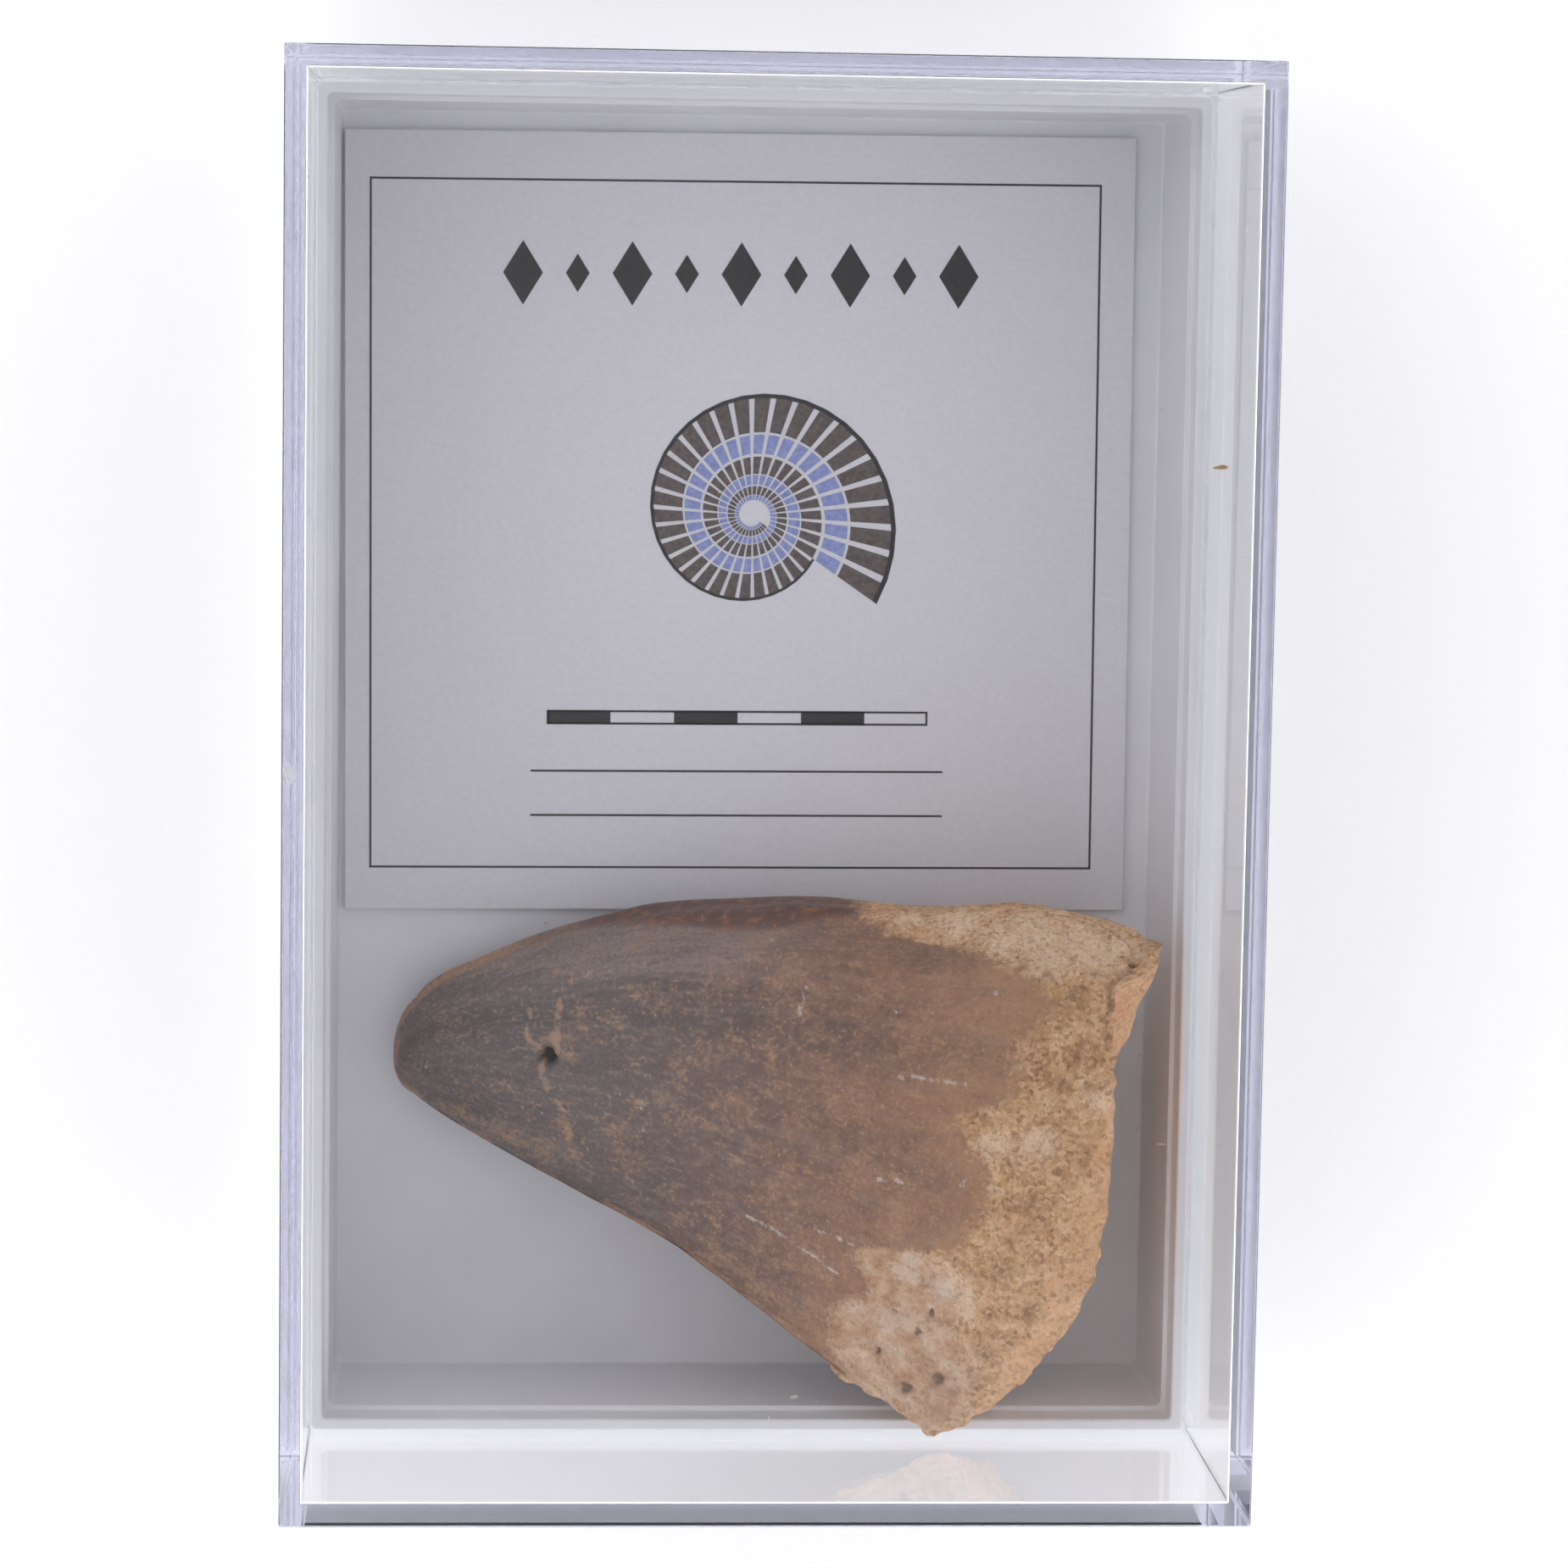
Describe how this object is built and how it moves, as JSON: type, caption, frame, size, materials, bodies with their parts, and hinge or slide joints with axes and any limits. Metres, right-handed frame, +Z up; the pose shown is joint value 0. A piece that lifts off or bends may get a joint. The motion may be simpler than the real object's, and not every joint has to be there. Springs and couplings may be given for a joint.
{
  "type": "fossil mosasaur tooth",
  "caption": "Fossil mosasaur tooth with its root and clinging rock, lying below a plain picture card in a white tray under a clear lift-off lid.",
  "frame": {"origin": "middle of the tray's flat underside, on the surface that the box lies on", "axes": "+X to the card's right, +Y towards the card's top edge, +Z up out of the tray and through the lid"},
  "size_m": [0.056, 0.0838, 0.033],
  "materials": {
    "white_polystyrene": "moulded, semi-gloss",
    "clear_polystyrene": "clear, polished mould, see-through",
    "card_stock": "matt printed card",
    "fossil_tooth": "brown enamel with a soft sheen, bone and sandy rock matt"
  },
  "bodies": {
    "root": {"tray": "white_polystyrene", "lid": "clear_polystyrene", "label_card": "card_stock", "tooth": "fossil_tooth"}
  },
  "joints": []
}
